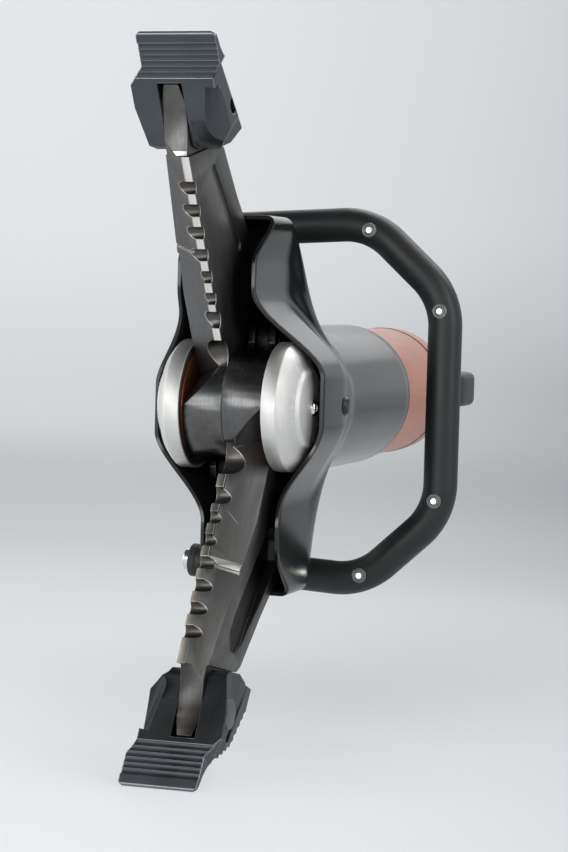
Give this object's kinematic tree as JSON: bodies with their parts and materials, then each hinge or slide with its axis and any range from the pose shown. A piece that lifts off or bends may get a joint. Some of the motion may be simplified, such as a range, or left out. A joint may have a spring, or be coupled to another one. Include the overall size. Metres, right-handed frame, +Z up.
{
  "type": "hydraulic rescue combi tool",
  "caption": "Hydraulic rescue cutter and spreader: two notched blade arms with spreading tips, driven through links by a piston, in a flared guard shell with a carry handle.",
  "frame": {"origin": "on the arms' pivot axis, in the plane where the two arms meet", "axes": "+X along the pivot axis towards the carry handle's long bar, -Y forwards to the tips, +Z up along the spread"},
  "size_m": [0.2152, 0.6156, 0.4712],
  "materials": {
    "dark_steel": "satin",
    "dark_alloy": "satin",
    "bronze": "satin",
    "stainless": "satin",
    "chrome_hardware": "gloss",
    "black_gloss": "gloss",
    "black_hardware": "satin",
    "arm_steel": "satin",
    "tip_steel": "matte",
    "pin_steel": "satin",
    "grey_alloy": "satin",
    "seal_rubber": "matte",
    "orange_paint": "gloss",
    "black_plastic": "matte",
    "black_satin": "satin",
    "lamp_glass": "gloss",
    "battery_wrap": "satin"
  },
  "bodies": {
    "frame": {"yoke": "dark_alloy", "centre_bolt": "dark_steel", "bolt_nut": "dark_steel", "thrust_washers": "bronze", "left_cap": "stainless", "right_cap": "stainless", "cap_screws": "chrome_hardware", "guard_shell": "black_gloss", "shell_screws": "black_hardware", "rod_gland": "bronze", "rod_seal": "seal_rubber", "yoke_screws": "pin_steel", "cylinder_tube": "orange_paint", "cylinder_head": "grey_alloy", "head_seal": "seal_rubber", "joint_ring": "black_gloss", "rear_housing": "orange_paint", "spool_spring": "pin_steel", "inlet_nipple": "chrome_hardware", "carry_handle": "black_satin", "upper_bracket": "dark_alloy", "lower_bracket": "dark_alloy", "bracket_screws": "pin_steel", "lamp_bezels": "grey_alloy", "lamp_lenses": "lamp_glass", "button_collar": "seal_rubber", "tube_plug": "black_plastic", "battery": "battery_wrap"},
    "upper_arm_body": {"upper_arm": "arm_steel", "upper_bush": "bronze", "upper_tip": "tip_steel"},
    "lower_arm_body": {"lower_arm": "arm_steel", "lower_bush": "bronze", "lower_tip": "tip_steel"},
    "upper_lock": {"upper_tip_pin": "pin_steel"},
    "lower_lock": {"lower_tip_pin": "pin_steel"},
    "ram": {"crosshead": "dark_steel", "crosshead_pin": "pin_steel", "piston_rod": "chrome_hardware", "piston": "grey_alloy", "piston_seal": "seal_rubber", "piston_nut": "pin_steel"},
    "upper_link_body": {"upper_link": "dark_steel", "upper_lever_pin": "pin_steel"},
    "lower_link_body": {"lower_link": "dark_steel", "lower_lever_pin": "pin_steel"},
    "control": {"rear_grip": "black_plastic", "grip_screw": "pin_steel", "control_spool": "chrome_hardware"},
    "coupling_lock": {"locking_sleeve": "black_plastic"},
    "button": {"light_button": "chrome_hardware"}
  },
  "joints": [
    {"name": "upper_arm_pivot", "type": "hinge", "parent": "frame", "child": "upper_arm_body", "pos_m": [-0.014, 0, 0], "axis": [1, 0, 0], "range_deg": [0, 58]},
    {"name": "lower_arm_pivot", "type": "hinge", "parent": "frame", "child": "lower_arm_body", "pos_m": [0.014, 0, 0], "axis": [1, 0, 0], "range_deg": [-58, 0]},
    {"name": "upper_tip_lock", "type": "slide", "parent": "upper_arm_body", "child": "upper_lock", "axis": [-1, 0, 0], "range_m": [0, 0.005], "stiffness_N_per_m": 2000, "springref_m": -0.001},
    {"name": "lower_tip_lock", "type": "slide", "parent": "lower_arm_body", "child": "lower_lock", "axis": [1, 0, 0], "range_m": [0, 0.005], "stiffness_N_per_m": 2000, "springref_m": -0.001},
    {"name": "ram_stroke", "type": "slide", "parent": "frame", "child": "ram", "axis": [0, 1, 0], "range_m": [0, 0.044]},
    {"name": "upper_link_hinge", "type": "hinge", "parent": "ram", "child": "upper_link_body", "pos_m": [-0.0126, 0.08841, 0], "axis": [1, 0, 0], "range_deg": [-30, 0]},
    {"name": "lower_link_hinge", "type": "hinge", "parent": "ram", "child": "lower_link_body", "pos_m": [0.0126, 0.08841, 0], "axis": [1, 0, 0], "range_deg": [0, 30]},
    {"name": "control_twist", "type": "hinge", "parent": "frame", "child": "control", "pos_m": [0, 0.3885, 0], "axis": [0, 1, 0], "range_deg": [-25, 25], "stiffness_Nm_per_rad": 3},
    {"name": "sleeve_slide", "type": "slide", "parent": "frame", "child": "coupling_lock", "axis": [0.6428, -0.766, 0], "range_m": [0, 0.004], "stiffness_N_per_m": 1500, "springref_m": -0.001},
    {"name": "button_press", "type": "slide", "parent": "frame", "child": "button", "axis": [0.9983, 0, -0.0576], "range_m": [0, 0.0015], "stiffness_N_per_m": 2500, "springref_m": -0.001}
  ],
  "couplings": [
    {"joint": "lower_arm_pivot", "follows": "upper_arm_pivot", "ratio": -1},
    {"joint": "ram_stroke", "follows": "upper_arm_pivot", "m_per_rad": 0.0429},
    {"joint": "upper_link_hinge", "follows": "upper_arm_pivot", "ratio": -0.49},
    {"joint": "lower_link_hinge", "follows": "upper_arm_pivot", "ratio": 0.49}
  ]
}
